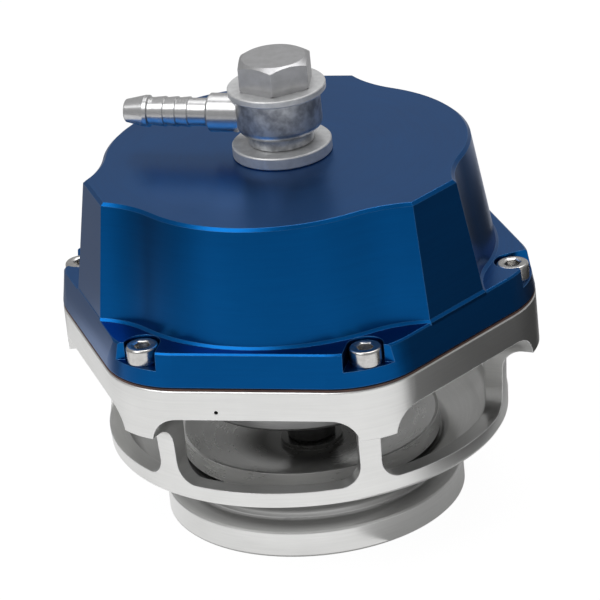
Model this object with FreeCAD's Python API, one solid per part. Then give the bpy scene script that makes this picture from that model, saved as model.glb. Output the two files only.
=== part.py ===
import FreeCAD, Part
import math
import os

from FreeCAD import Vector

# Blow-off valve: a windowed bowl body with a V-band inlet flange, a spring-loaded poppet on a
# diaphragm, a three-lobed cap and a banjo hose fitting. Millimetres, +Z up along the valve's
# axis, origin at the centre of the inlet flange's lower face. The front is towards -Y.

# Fits and clearances
RUNNING_FIT = 0.05  # radial gap round a piece that slides or turns
STATIC_FIT = 0.02  # radial gap round a piece that is pressed, screwed or glued in
SCREW_CLEARANCE = 0.25  # radial gap round a screw in its through hole
SOFT_GAP = 0.05  # gap between a rubber ring and the faces it is squeezed on
SEAT_GAP = 0.7  # gap between the closed valve's metal face and the seat, filled by the seal
STOP_GAP = 0.3  # gap left between the rim of the fully lifted valve and the hub

# Inlet flange, neck and seat
THROAT_R = 24.0
NECK_WALL = 3.0
V_LIP = 4.2  # how far the V-band lip stands out from the neck
FLANGE_RIM_H = 5.75
V_ANGLE = 12.0
SEAT_H = 12.5  # height of the seat above the flange's lower face
SEAT_CHAMFER = 1.0
SEAT_MARGIN = 0.4  # how far the seat reaches past the valve's rim
DISH_ANGLE = 27.0  # slope of the bowl's floor, outward from the seat
DISH_T = 2.7
DISH_FILLET_R = 5.0  # fillet between the bowl's floor and its wall
UNDERCUT_R = 3.2  # fillet between the neck and the bowl's underside

# Bowl and windows
DISH_W = 10.8  # from the seat's edge to the bowl's inner wall
BOWL_WALL = 3.4
BOWL_FLARE = 3.6
BOWL_FILLET_R = 5.0
RING_H = 3.25  # height of the unbroken ring below the windows
WINDOW_H = 18.3
WINDOW_TOP_R = 6.0
WINDOW_SILL_R = 4.5
LEG_W = 4.4
LEG_FLARE = 11.4
RIM_H = 6.4  # height of the unbroken rim above the windows
COLUMN_H = 11.2  # height of the hexagonal block, from its underside to the joint face
EDGE = 0.35  # chamfer on machined edges

# Hexagon outline, shared by body, diaphragm and cap
HEX_OVERHANG = 3.9  # how far the hexagon's flats stand out from the bowl's ring
HEX_CORNER_R = 18.5
BOLT_OUT = 0.1  # how far the screws' circle lies past the hexagon's flats
BOLT_COUNT = 6

# Cap
DIAPHRAGM_T = 0.4
DIAPHRAGM_INSET = 0.1
CAP_FLANGE_H = 7.35
CAP_H = 31.8
CAP_DRAFT = 8.0  # of the flange's sides, the facets and the lobes
CAP_EDGE = 0.6
CAP_ROOT = 0.5  # flare where the dome meets the flange
LOBE_SETBACK = 2.35  # from the flange's upper edge in to the middle of a lobe
LOBE_OFFSET = 6.05  # from the valve's axis to the centre of a lobe's arc
FLANK_R = 20.0  # hollow radius on each side of a lobe
FACET_SETBACK = 0.4  # from the flange's upper edge in to a facet
FACET_W = 16.6
FACET_BLEND_RISE = 3.4
FACET_BLEND_DROP = 5.1
NOTCH_GAP = 0.4  # gap between a screw's head and its notch
NOTCH_FLOOR = 3.6  # height of the notch floors above the cap's lower face
CHAMBER_LEDGE = 4.0  # from the bowl's inner wall in to the cap's chamber
CHAMBER_TAPER = 1.7
CHAMBER_FILLET_R = 3.0
CAP_ROOF_T = 4.8
BOSS_WALL = 5.0
BOSS_DROP = 6.4

# Cap screws
SCREW_R = 2.0
SCREW_L = 12.0
SCREW_HEAD_LIP = 1.35
SCREW_HEAD_H = 3.4
SCREW_SOCKET_AF = 3.0
SCREW_SOCKET_DEPTH = 2.0
TAPPED_EXTRA = 0.8  # depth of a tapped hole past the screw's end

# Guide carrier, bush and stem seal
LIP_T = 2.4
LIP_W = 2.0
HUB_INSET = 2.5  # how far the valve's rim reaches past the hub
HUB_WALL = 3.0
HUB_EDGE = 0.6
HUB_RECESS_H = 7.0
DECK_T = 2.8
CLAMP_LEDGE = 4.2  # from the bowl's inner wall in to the lower chamber
LOWER_CHAMBER_H = 5.2
BUSH_WALL = 2.0
BUSH_BOSS_WALL = 3.2
STEM_SEAL_W = 2.4
STEM_SEAL_H = 2.2
CARRIER_SEAL_R = 0.55
CARRIER_SEAL_DROP = 3.2  # from the joint face down to the middle of the carrier's seal
VENT_R = 0.4
VENT_X = -7.4
VENT_RISE = 0.5  # height of the vent above the lower chamber's floor

# Valve disc, its seal and its screw
VALVE_LAP = 3.0  # how far the disc reaches past the throat
VALVE_EDGE_H = 3.9
VALVE_LIP = 0.7
HOLLOW_DEPTH = 5.2  # depth of the disc's hollow top
HOLLOW_SLOPE_W = 10.0  # from the disc's rim in to the knee of its hollow
HOLLOW_FILLET_R = 30.0
PLUG_GAP = 1.1
PLUG_H = 5.7
DISC_BOSS_WALL = 1.5
DISC_BOSS_H = 1.0
VALVE_SEAL_R = 0.68
VALVE_SEAL_LAP = 1.8  # how far the seal's centre circle lies past the throat
VALVE_SCREW_R = 3.0
VALVE_SCREW_HEAD_LIP = 2.2
VALVE_SCREW_HEAD_H = 3.0
VALVE_SCREW_AF = 4.0
VALVE_SCREW_GRIP = 10.0  # how far the screw reaches into the stem
LIFT = 8.0

# Stem, plates, washer and nut
STEM_R = 5.0
SPIGOT_R = 3.0
SPIGOT_L = 11.5
PLATE_INSET = 0.6
PLATE_T = 1.6
PLATE_RISE = 0.8  # height of the closed valve's plate above the lower chamber's floor
CUP_T = 1.2
CUP_H = 6.5
WASHER_W = 3.5
WASHER_T = 1.2
NUT_WALL = 2.0
NUT_H = 5.0
ROLL_R = 2.5  # middle radius of the diaphragm's roll
ROLL_GAP_IN = 0.4  # gap between the roll and the cup
ROLL_GAP_OUT = 0.2  # gap between the roll and the lower chamber's wall

# Springs
OUTER_SPRING_INSET = 5.1  # from the cup's rim in to the wire's middle
OUTER_WIRE_R = 1.3
OUTER_TURNS = 5.25
INNER_SPRING_OUT = 3.5  # from the cap's boss out to the wire's middle
INNER_WIRE_R = 1.0
INNER_TURNS = 6.25

# Banjo fitting
BANJO_BOLT_R = 5.0
BANJO_BORE_R = 2.2
BANJO_CROSS_R = 1.6
BANJO_BOLT_L = 24.1
BANJO_AF = 14.0
BANJO_HEAD_H = 6.0
BANJO_HEAD_TURN = 7.3
BANJO_HEAD_BEVEL = 0.8
LOWER_WASHER_LIP = 1.45
LOWER_WASHER_T = 2.6
UPPER_WASHER_LIP = 1.3
UPPER_WASHER_T = 1.5
EYE_FOOT_WALL = 1.75
EYE_FOOT_H = 2.4
EYE_WALL = 2.35  # wall outside the eye's ring groove
EYE_H = 10.8
EYE_FILLET_R = 2.4
EYE_GROOVE_DEPTH = 1.35
EYE_GROOVE_H = 5.0
BARB_ANGLE = 176.5
BARB_RISE = 5.7  # height of the barb's axis above the eye's foot
BARB_TAIL_L = 17.9  # from the collar to the barb's tip
BARB_STEM_R = 2.9
BARB_COLLAR_STEP = 1.1
BARB_COLLAR_L = 6.05
BARB_END_RIDGE_STEP = 0.4
BARB_TIP_STEP = 0.5
BARB_WALL = 1.2
BARB_STUB_STEP = 0.3
BARB_RIDGE_COUNT = 3
BARB_RIDGE_PITCH = 2.6
BARB_RIDGE_STEP = 0.25
BARB_HEAD_L = 5.3
BARB_LAND = 0.8  # straight length on top of the end ridge

# Heights and radii that follow from the sizes above
neck_r = THROAT_R + NECK_WALL
flange_r = neck_r + V_LIP
valve_r = THROAT_R + VALVE_LAP
seat_r = valve_r + SEAT_MARGIN
dish_slope = math.tan(math.radians(DISH_ANGLE))
cavity_r = seat_r + DISH_W
bowl_r = cavity_r + BOWL_WALL
hex_apothem = bowl_r + HEX_OVERHANG
bolt_circle_r = hex_apothem + BOLT_OUT
ring_bottom_z = SEAT_H + (bowl_r - seat_r) * dish_slope - DISH_T
sill_z = ring_bottom_z + RING_H
window_top_z = sill_z + WINDOW_H
body_top_z = window_top_z + RIM_H
column_z = body_top_z - COLUMN_H
bowl_top_r = bowl_r + (column_z - ring_bottom_z) * math.tan(math.radians(BOWL_FLARE))
lip_z = body_top_z - LIP_T
lip_r = cavity_r + LIP_W

cap_z = body_top_z + DIAPHRAGM_T
cap_flange_z = cap_z + CAP_FLANGE_H
cap_top_z = cap_z + CAP_H
cap_roof_z = cap_top_z - CAP_ROOF_T
notch_z = cap_z + NOTCH_FLOOR
boss_z = cap_roof_z - BOSS_DROP
cap_slope = math.tan(math.radians(CAP_DRAFT))
flange_top_d = hex_apothem - CAP_FLANGE_H * cap_slope
lobe_reach = flange_top_d - LOBE_SETBACK
lobe_radius = lobe_reach - LOBE_OFFSET
facet_d = flange_top_d - FACET_SETBACK
screw_head_r = SCREW_R + SCREW_HEAD_LIP
notch_r = screw_head_r + NOTCH_GAP
chamber_r = cavity_r - CHAMBER_LEDGE
chamber_top_r = chamber_r - CHAMBER_TAPER
boss_r = BANJO_BOLT_R + BOSS_WALL

lower_floor_z = body_top_z - LOWER_CHAMBER_H
deck_z = lower_floor_z - DECK_T
vent_z = lower_floor_z + VENT_RISE
bush_r = STEM_R + RUNNING_FIT + BUSH_WALL
hub_boss_r = bush_r + BUSH_BOSS_WALL
hub_r = valve_r - HUB_INSET
lower_chamber_r = cavity_r - CLAMP_LEDGE

valve_face_z = SEAT_H + SEAT_GAP
valve_top_z = valve_face_z + VALVE_EDGE_H
hollow_z = valve_top_z - HOLLOW_DEPTH
disc_boss_z = hollow_z + DISC_BOSS_H
nose_z = valve_face_z - PLUG_H
hub_z = valve_top_z + LIFT + STOP_GAP
hollow_knee_r = valve_r - HOLLOW_SLOPE_W
disc_boss_r = STEM_R + DISC_BOSS_WALL
valve_screw_head_r = VALVE_SCREW_R + VALVE_SCREW_HEAD_LIP

plate_z = lower_floor_z + PLATE_RISE
web_z = plate_z + PLATE_T
cup_z = web_z + DIAPHRAGM_T
spring_z = cup_z + CUP_T
nut_z = spring_z + WASHER_T
cup_r = lower_chamber_r - ROLL_GAP_OUT - DIAPHRAGM_T - 2 * ROLL_R - ROLL_GAP_IN
plate_r = cup_r - PLATE_INSET
outer_spring_r = cup_r - OUTER_SPRING_INSET
inner_spring_r = boss_r + INNER_SPRING_OUT
washer_r = SPIGOT_R + WASHER_W
nut_af = 2 * (SPIGOT_R + NUT_WALL)

eye_z = cap_top_z + LOWER_WASHER_T
upper_washer_z = eye_z + EYE_H
head_z = upper_washer_z + UPPER_WASHER_T
barb_z = eye_z + BARB_RISE
eye_bore_r = BANJO_BOLT_R + RUNNING_FIT
eye_foot_r = eye_bore_r + EYE_FOOT_WALL
eye_groove_r = eye_bore_r + EYE_GROOVE_DEPTH
eye_r = eye_groove_r + EYE_WALL
lower_washer_r = eye_r + LOWER_WASHER_LIP
upper_washer_r = eye_r + UPPER_WASHER_LIP
barb_collar_end = eye_r + BARB_COLLAR_L
barb_end = barb_collar_end + BARB_TAIL_L
barb_collar_r = BARB_STEM_R + BARB_COLLAR_STEP
barb_ridge_r = BARB_STEM_R + BARB_END_RIDGE_STEP
barb_tip_r = BARB_STEM_R - BARB_TIP_STEP
barb_bore_r = BARB_STEM_R - BARB_WALL
barb_stub_r = BARB_STEM_R - BARB_STUB_STEP


# Drawing helpers
def upright(u, v):
    """A point of a turned profile: u is the radius, v the height."""
    return Vector(u, 0, v)


def flat(u, v):
    """A point of a plan outline at height zero."""
    return Vector(u, v, 0)


def arc_about(centre, start, end):
    """The shorter arc from start to end round a centre."""
    out = (start - centre) + (end - centre)
    middle = centre + out.normalize() * (start - centre).Length
    return Part.Arc(start, middle, end).toShape()


def side_to(here, other):
    """The direction from a corner to its neighbour, and the length that a fillet may use."""
    side = Vector(other[0], other[1], 0) - here
    room = side.Length * (0.499 if len(other) > 2 else 0.998)
    return side.normalize(), room


def rounded_wire(corners, place=upright):
    """A closed wire through corners (u, v) or (u, v, fillet radius); a fillet shrinks to fit."""
    joints = []
    for i, corner in enumerate(corners):
        here = Vector(corner[0], corner[1], 0)
        back, room_back = side_to(here, corners[i - 1])
        ahead, room_ahead = side_to(here, corners[(i + 1) % len(corners)])
        half = back.getAngle(ahead) / 2
        radius = corner[2] if len(corner) > 2 else 0
        radius = min(radius, min(room_back, room_ahead) * math.tan(half))
        reach = radius / math.tan(half)
        centre = here + (back + ahead).normalize() * (radius / math.sin(half)) if radius else here
        joints.append((here + back * reach, centre, here + ahead * reach, radius))
    edges = []
    for i, (start, centre, end, radius) in enumerate(joints):
        if radius:
            arc = [place(point.x, point.y) for point in (centre, start, end)]
            edges.append(arc_about(*arc))
        following = joints[(i + 1) % len(joints)][0]
        if (following - end).Length > 1e-6:
            edges.append(Part.makeLine(place(end.x, end.y), place(following.x, following.y)))
    return Part.Wire(edges)


def turned(corners):
    """A solid turned round the Z axis from a profile of (radius, height) corners."""
    return Part.Face(rounded_wire(corners)).revolve(Vector(), Vector(0, 0, 1), 360)


def ring(inner_r, outer_r, bottom, top, edge=0.0):
    """A flat ring, with its two outer edges chamfered by edge."""
    corners = [(inner_r, bottom), (outer_r - edge, bottom), (outer_r, bottom + edge)]
    corners += [(outer_r, top - edge), (outer_r - edge, top), (inner_r, top)]
    return turned(corners) if edge else turned([corners[0], corners[2], corners[3], corners[5]])


def cylinder(radius, bottom, top, x=0.0, y=0.0):
    return Part.makeCylinder(radius, top - bottom, Vector(x, y, bottom))


def prism(wire, height):
    return Part.Face(wire).extrude(Vector(0, 0, height))


def stacked(outline, levels):
    """A solid through outline(inset) wires, one for each (height, inset) level."""
    wires = []
    for height, inset in levels:
        wire = outline(inset)
        wire.translate(Vector(0, 0, height))
        wires.append(wire)
    return Part.makeLoft(wires, True, True)


def spun(shape, degrees):
    """A copy of the shape turned about the valve's axis."""
    copy = shape.copy()
    copy.rotate(Vector(), Vector(0, 0, 1), degrees)
    return copy


def polar(radius, degrees):
    angle = math.radians(degrees)
    return radius * math.cos(angle), radius * math.sin(angle)


def hexagon(across_flats, bottom, height, turn=0.0):
    """A hexagonal bar, with a corner at the angle turn."""
    corner_r = across_flats / 2 / math.cos(math.pi / 6)
    corners = [polar(corner_r, turn + 60 * i) for i in range(6)]
    bar = prism(rounded_wire(corners, flat), height)
    bar.translate(Vector(0, 0, bottom))
    return bar


def bolt_places():
    return [polar(bolt_circle_r, 360 / BOLT_COUNT * i) for i in range(BOLT_COUNT)]


# Outlines
def hexagon_outline(inset):
    """The outline shared by the body's rim, the diaphragm and the cap's flange."""
    corner_r = (hex_apothem - inset) / math.cos(math.pi / 6)
    corners = [(*polar(corner_r, 60 * i), HEX_CORNER_R - inset) for i in range(6)]
    return rounded_wire(corners, flat)


def flank_centre():
    """Centre of the hollow beside a lobe, as (out, along) from the valve's axis."""
    corner = Vector(
        facet_d * math.cos(math.pi / 3) + FACET_W / 2 * math.sin(math.pi / 3),
        facet_d * math.sin(math.pi / 3) - FACET_W / 2 * math.cos(math.pi / 3),
        0,
    )
    lobe = Vector(lobe_reach - lobe_radius, 0, 0)
    span = corner - lobe
    reach = (span.Length**2 + (lobe_radius + FLANK_R) ** 2 - FLANK_R**2) / (2 * span.Length)
    side = math.sqrt((lobe_radius + FLANK_R) ** 2 - reach**2)
    along = Vector(span).normalize()
    return lobe + along * reach + Vector(along.y, -along.x, 0) * side


def dome_outline(inset):
    """Three round lobes with hollow flanks, and a flat facet between each two."""
    lobe = Vector(lobe_reach - lobe_radius, 0, 0)
    flank = flank_centre()
    lobe_r = lobe_radius - inset
    flank_r = FLANK_R + inset
    touch = lobe + (flank - lobe) * (lobe_r / (lobe_r + flank_r))
    out = Vector(math.cos(math.pi / 3), math.sin(math.pi / 3), 0)
    across = Vector(out.y, -out.x, 0)
    depth = flank.dot(out) - (facet_d - inset)
    half_width = flank.dot(across) - math.sqrt(flank_r**2 - depth**2)
    corner = out * (facet_d - inset) + across * half_width

    def mirrored(point):
        return Vector(point.x, -point.y, 0)

    edges = []
    for turn in (30, 150, 270):
        piece = [
            arc_about(mirrored(flank), mirrored(corner), mirrored(touch)),
            arc_about(lobe, mirrored(touch), touch),
            arc_about(flank, touch, corner),
        ]
        edges += [spun(edge, turn) for edge in piece]
        next_corner = Vector(
            mirrored(corner).x * math.cos(2 * math.pi / 3) - mirrored(corner).y * math.sin(2 * math.pi / 3),
            mirrored(corner).x * math.sin(2 * math.pi / 3) + mirrored(corner).y * math.cos(2 * math.pi / 3),
            0,
        )
        edges.append(spun(Part.makeLine(corner, next_corner), turn))
    return Part.Wire(edges)


# Body
def window_half_width(out):
    """Half the window's width on the plane at the distance out from the valve's axis."""
    sin, cos = math.sin(math.pi / 6), math.cos(math.pi / 6)
    flare = math.tan(math.radians(LEG_FLARE))
    return (out * (sin - cos * flare) - LEG_W / 2 + bowl_r * flare) / (cos + sin * flare)


def window_cutter():
    """The space of the window that faces +X, wider outside than inside."""
    wires = []
    for out in (cavity_r * 0.8, hex_apothem + 5):
        half = window_half_width(out)
        corners = [
            (-half, sill_z, WINDOW_SILL_R),
            (half, sill_z, WINDOW_SILL_R),
            (half, window_top_z, WINDOW_TOP_R),
            (-half, window_top_z, WINDOW_TOP_R),
        ]
        wires.append(rounded_wire(corners, lambda u, v, out=out: Vector(out, u, v)))
    return Part.makeLoft(wires, True, True)


def vent_cutter():
    return Part.makeCylinder(VENT_R, hex_apothem, Vector(VENT_X, 0, vent_z), Vector(0, -1, 0))


def make_body():
    v_rise = V_LIP * math.tan(math.radians(V_ANGLE))
    neck_top_z = ring_bottom_z - (bowl_r - neck_r) * dish_slope
    bowl = turned([
        (THROAT_R, 0),
        (flange_r - EDGE, 0),
        (flange_r, EDGE),
        (flange_r, FLANGE_RIM_H - EDGE),
        (flange_r - EDGE, FLANGE_RIM_H),
        (neck_r, FLANGE_RIM_H + v_rise, 0.6),
        (neck_r, neck_top_z, UNDERCUT_R),
        (bowl_r - EDGE, ring_bottom_z - EDGE * dish_slope),
        (bowl_r, ring_bottom_z + EDGE),
        (bowl_top_r, column_z, BOWL_FILLET_R),
        (hex_apothem + 2, column_z),
        (hex_apothem + 2, column_z + 0.5),
        (cavity_r, window_top_z),
        (cavity_r, SEAT_H + (cavity_r - seat_r) * dish_slope, DISH_FILLET_R),
        (seat_r, SEAT_H),
        (THROAT_R + SEAT_CHAMFER, SEAT_H),
        (THROAT_R, SEAT_H - SEAT_CHAMFER),
    ])
    levels = [(column_z, 0), (body_top_z - EDGE, 0), (body_top_z, EDGE)]
    block = stacked(hexagon_outline, levels)
    block = block.cut(cylinder(cavity_r, column_z - 1, body_top_z + 1))
    body = block.fuse(bowl.common(prism(hexagon_outline(0), body_top_z)))
    body = body.cut(cylinder(lip_r, lip_z, body_top_z + 1))
    cutters = [spun(window_cutter(), 30 + 60 * i) for i in range(6)]
    tap_z = notch_z - SCREW_L - TAPPED_EXTRA
    cutters += [cylinder(SCREW_R + STATIC_FIT, tap_z, body_top_z + 1, x, y) for x, y in bolt_places()]
    cutters.append(vent_cutter())
    return body.cut(cutters).removeSplitter()


# Guide carrier, bush and seals
def make_guide_carrier():
    plug_r = cavity_r - STATIC_FIT
    recess_z = hub_z + HUB_RECESS_H
    seal_r = STEM_R + RUNNING_FIT + STEM_SEAL_W
    carrier = turned([
        (bush_r, hub_z),
        (hub_boss_r, hub_z),
        (hub_boss_r, recess_z),
        (hub_r - HUB_WALL, recess_z),
        (hub_r - HUB_WALL, hub_z),
        (hub_r - HUB_EDGE, hub_z),
        (hub_r, hub_z + HUB_EDGE),
        (hub_r, deck_z, 2.0),
        (plug_r - EDGE, deck_z),
        (plug_r, deck_z + EDGE),
        (plug_r, lip_z),
        (lip_r - STATIC_FIT, lip_z),
        (lip_r - STATIC_FIT, body_top_z),
        (lower_chamber_r + EDGE, body_top_z),
        (lower_chamber_r, body_top_z - EDGE),
        (lower_chamber_r, lower_floor_z),
        (seal_r, lower_floor_z),
        (seal_r, lower_floor_z - STEM_SEAL_H),
        (bush_r, lower_floor_z - STEM_SEAL_H),
    ])
    seal_z = body_top_z - CARRIER_SEAL_DROP
    groove_r = cavity_r - 2 * CARRIER_SEAL_R
    groove = ring(groove_r, plug_r + 1, seal_z - CARRIER_SEAL_R, seal_z + CARRIER_SEAL_R)
    return carrier.cut([groove, vent_cutter()])


def make_carrier_seal():
    circle_r = cavity_r - CARRIER_SEAL_R
    return Part.makeTorus(circle_r, CARRIER_SEAL_R - STATIC_FIT, Vector(0, 0, body_top_z - CARRIER_SEAL_DROP))


def make_guide_bush():
    top = lower_floor_z - STEM_SEAL_H
    return ring(STEM_R + RUNNING_FIT, bush_r - STATIC_FIT, hub_z, top, 0.3)


def make_stem_seal():
    inner = STEM_R + RUNNING_FIT
    outer = inner + STEM_SEAL_W - STATIC_FIT
    return ring(inner, outer, lower_floor_z - STEM_SEAL_H, lower_floor_z - SOFT_GAP, 0.4)


# Diaphragm
def make_diaphragm():
    """The hexagonal rubber sheet, with a roll between its clamped edge and its centre."""
    half_t = DIAPHRAGM_T / 2
    roll_r = cup_r + ROLL_GAP_IN + half_t + ROLL_R
    outer_r = roll_r + ROLL_R
    inner_r = roll_r - ROLL_R
    roll_z = body_top_z + half_t
    sheet = prism(hexagon_outline(DIAPHRAGM_INSET), DIAPHRAGM_T)
    sheet.translate(Vector(0, 0, body_top_z))
    sheet = sheet.cut(cylinder(outer_r, body_top_z - 1, cap_z + 1))
    crest = Part.makeTorus(roll_r, ROLL_R + half_t, Vector(0, 0, roll_z))
    crest = crest.cut(Part.makeTorus(roll_r, ROLL_R - half_t, Vector(0, 0, roll_z)))
    crest = crest.cut(cylinder(outer_r + 5, roll_z - 5, roll_z))
    skirt = ring(outer_r - half_t, outer_r + half_t, body_top_z, roll_z)
    leg = ring(inner_r - half_t, inner_r + half_t, web_z, roll_z)
    web = cylinder(inner_r, web_z, web_z + DIAPHRAGM_T)
    web = web.cut(cylinder(SPIGOT_R + STATIC_FIT, web_z - 1, cup_z + 1))
    holes = [cylinder(SCREW_R + SCREW_CLEARANCE, body_top_z - 1, cap_z + 1, x, y) for x, y in bolt_places()]
    return sheet.fuse([crest, skirt, leg, web]).cut(holes).removeSplitter()


# Cap
def facet_blend_cutter():
    """What the S-shaped blend from a facet to the flange's side leaves out, facing +X."""
    top = upright(facet_d - FACET_BLEND_RISE * cap_slope, cap_flange_z + FACET_BLEND_RISE)
    foot_z = cap_flange_z - FACET_BLEND_DROP
    foot = upright(hex_apothem - (foot_z - cap_z) * cap_slope, foot_z)
    outward = upright(math.cos(math.radians(CAP_DRAFT)), math.sin(math.radians(CAP_DRAFT)))
    span = foot - top
    swing = outward * (span.Length**2 / (4 * span.dot(outward)))
    middle = (top + foot) * 0.5
    beyond = 1.2 * hex_apothem
    edges = [
        arc_about(top + swing, top, middle),
        arc_about(foot - swing, middle, foot),
        Part.makeLine(foot, upright(beyond, foot.z)),
        Part.makeLine(upright(beyond, foot.z), upright(beyond, top.z)),
        Part.makeLine(upright(beyond, top.z), top),
    ]
    side = hex_apothem
    cutter = Part.Face(Part.Wire(edges)).extrude(Vector(0, 2 * side, 0))
    cutter.translate(Vector(0, -side, 0))
    return cutter


def notch_cutter(side):
    """The open pocket round a screw beside the lobe that faces +X; side is 1 or -1."""
    out, along = polar(bolt_circle_r, side * 30)
    height = cap_flange_z + CAP_ROOT - notch_z
    pocket = Part.makeCylinder(notch_r, height, Vector(out, along, notch_z))
    width = hex_apothem
    low_y = along - notch_r if side > 0 else along + notch_r - width
    return pocket.fuse(Part.makeBox(width, width, height, Vector(out, low_y, notch_z)))


def make_cap():
    flange_inset = CAP_FLANGE_H * cap_slope
    flange = stacked(hexagon_outline, [
        (cap_z, EDGE),
        (cap_z + EDGE, EDGE * cap_slope),
        (cap_flange_z - EDGE, flange_inset - EDGE * cap_slope),
        (cap_flange_z, flange_inset + EDGE),
    ])
    rise = CAP_H - CAP_FLANGE_H
    dome = stacked(dome_outline, [
        (cap_flange_z - 1, -CAP_ROOT),
        (cap_flange_z, -CAP_ROOT),
        (cap_flange_z + CAP_ROOT, CAP_ROOT * cap_slope),
        (cap_top_z - CAP_EDGE, (rise - CAP_EDGE) * cap_slope),
        (cap_top_z, rise * cap_slope + CAP_EDGE),
    ])
    cap = flange.fuse(dome)
    cutters = []
    for turn in (30, 150, 270):
        cutters += [spun(notch_cutter(side), turn) for side in (1, -1)]
        cutters.append(spun(facet_blend_cutter(), turn + 60))
    cutters += [cylinder(SCREW_R + SCREW_CLEARANCE, cap_z - 1, notch_z + 1, x, y) for x, y in bolt_places()]
    chamber = turned([
        (0, cap_z - 1),
        (chamber_r, cap_z - 1),
        (chamber_r, cap_z),
        (chamber_top_r, cap_roof_z, CHAMBER_FILLET_R),
        (boss_r, cap_roof_z, 1.0),
        (boss_r, boss_z, 0.8),
        (0, boss_z),
    ])
    cutters.append(chamber)
    cutters.append(cylinder(BANJO_BOLT_R + STATIC_FIT, boss_z - 1, cap_top_z + 1))
    return cap.cut(cutters).removeSplitter()


def make_cap_screw(x, y):
    """A socket head screw standing on a notch floor."""
    head_top = notch_z + SCREW_HEAD_H
    tip_z = notch_z - SCREW_L
    screw = turned([
        (0, tip_z),
        (SCREW_R - 0.4, tip_z),
        (SCREW_R, tip_z + 0.4),
        (SCREW_R, notch_z),
        (screw_head_r, notch_z),
        (screw_head_r, head_top, 0.5),
        (0, head_top),
    ])
    screw = screw.cut(hexagon(SCREW_SOCKET_AF, head_top - SCREW_SOCKET_DEPTH, SCREW_SOCKET_DEPTH + 1))
    screw.translate(Vector(x, y, 0))
    return screw


# Valve disc, its seal, its screw and the stem
def make_valve_disc():
    plug_r = THROAT_R - PLUG_GAP
    hole_r = VALVE_SCREW_R + SCREW_CLEARANCE
    disc = turned([
        (hole_r, nose_z),
        (plug_r - 8, nose_z, 8.0),
        (plug_r, valve_face_z - 2.4),
        (plug_r, valve_face_z),
        (valve_r, valve_face_z),
        (valve_r, valve_top_z),
        (valve_r - VALVE_LIP, valve_top_z),
        (hollow_knee_r, hollow_z + 0.4, HOLLOW_FILLET_R),
        (disc_boss_r, hollow_z),
        (disc_boss_r, disc_boss_z),
        (hole_r, disc_boss_z),
    ])
    circle_r = THROAT_R + VALVE_SEAL_LAP
    width = VALVE_SEAL_R + STATIC_FIT
    groove_z = valve_face_z + 2 * VALVE_SEAL_R - SEAT_GAP / 2
    groove = ring(circle_r - width, circle_r + width, valve_face_z - 1, groove_z)
    return disc.cut(groove)


def make_valve_seal():
    centre_z = SEAT_H + SOFT_GAP + VALVE_SEAL_R
    return Part.makeTorus(THROAT_R + VALVE_SEAL_LAP, VALVE_SEAL_R, Vector(0, 0, centre_z))


def make_valve_screw():
    """A button head screw that clamps the disc to the stem from below."""
    head_z_low = nose_z - VALVE_SCREW_HEAD_H
    tip_z = disc_boss_z + VALVE_SCREW_GRIP
    screw = turned([
        (0, head_z_low),
        (valve_screw_head_r - 1.2, head_z_low),
        (valve_screw_head_r, nose_z - 1),
        (valve_screw_head_r, nose_z),
        (VALVE_SCREW_R, nose_z),
        (VALVE_SCREW_R, tip_z - 0.5),
        (VALVE_SCREW_R - 0.5, tip_z),
        (0, tip_z),
    ])
    return screw.cut(hexagon(VALVE_SCREW_AF, head_z_low - 1, 3.2))


def make_valve_stem():
    bore_r = VALVE_SCREW_R + STATIC_FIT
    bore_top = disc_boss_z + VALVE_SCREW_GRIP + 1.5
    top = plate_z + SPIGOT_L
    return turned([
        (0, bore_top),
        (bore_r, bore_top),
        (bore_r, disc_boss_z),
        (STEM_R - 0.4, disc_boss_z),
        (STEM_R, disc_boss_z + 0.4),
        (STEM_R, plate_z - 0.3),
        (STEM_R - 0.3, plate_z),
        (SPIGOT_R, plate_z),
        (SPIGOT_R, top - 0.5),
        (SPIGOT_R - 0.5, top),
        (0, top),
    ])


# Plates, washer, nut and springs
def make_diaphragm_plate():
    return ring(SPIGOT_R + STATIC_FIT, plate_r, plate_z, web_z, 0.5)


def make_spring_cup():
    """The upper plate: a shallow cup that holds the springs and the diaphragm's roll."""
    return turned([
        (SPIGOT_R + STATIC_FIT, cup_z),
        (cup_r - CUP_T, cup_z),
        (cup_r, cup_z + CUP_T),
        (cup_r, cup_z + CUP_H),
        (cup_r - CUP_T, cup_z + CUP_H),
        (cup_r - CUP_T, spring_z),
        (SPIGOT_R + STATIC_FIT, spring_z),
    ])


def make_stem_washer():
    return ring(SPIGOT_R + STATIC_FIT, washer_r, spring_z, nut_z, 0.15)


def make_stem_nut():
    corner_r = nut_af / 2 / math.cos(math.pi / 6)
    bevelled = turned([
        (SPIGOT_R + STATIC_FIT, nut_z),
        (corner_r, nut_z),
        (corner_r, nut_z + NUT_H - 0.5),
        (corner_r - 0.9, nut_z + NUT_H),
        (SPIGOT_R + STATIC_FIT, nut_z + NUT_H),
    ])
    return hexagon(nut_af, nut_z, NUT_H).common(bevelled)


def make_spring(circle_r, wire_r, turns):
    """A compression spring between the cup and the cap's roof, with ground ends."""
    height = cap_roof_z - spring_z
    helix = Part.makeHelix((height + wire_r) / turns, height + wire_r, circle_r)
    corners = [polar(wire_r, 22.5 + 45 * i) for i in range(8)]
    section = rounded_wire([(circle_r + out, up) for out, up in corners])
    coil = Part.Wire(helix).makePipeShell([section], True, True)
    coil.translate(Vector(0, 0, spring_z - wire_r / 2))
    between = cylinder(circle_r + 2 * wire_r, spring_z, cap_roof_z)
    return coil.common(between)


# Banjo fitting
def along_barb(shape):
    """Turns a shape made along +X onto the barb's direction and height."""
    shape.rotate(Vector(), Vector(0, 0, 1), BARB_ANGLE)
    shape.translate(Vector(0, 0, barb_z))
    return shape


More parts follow.
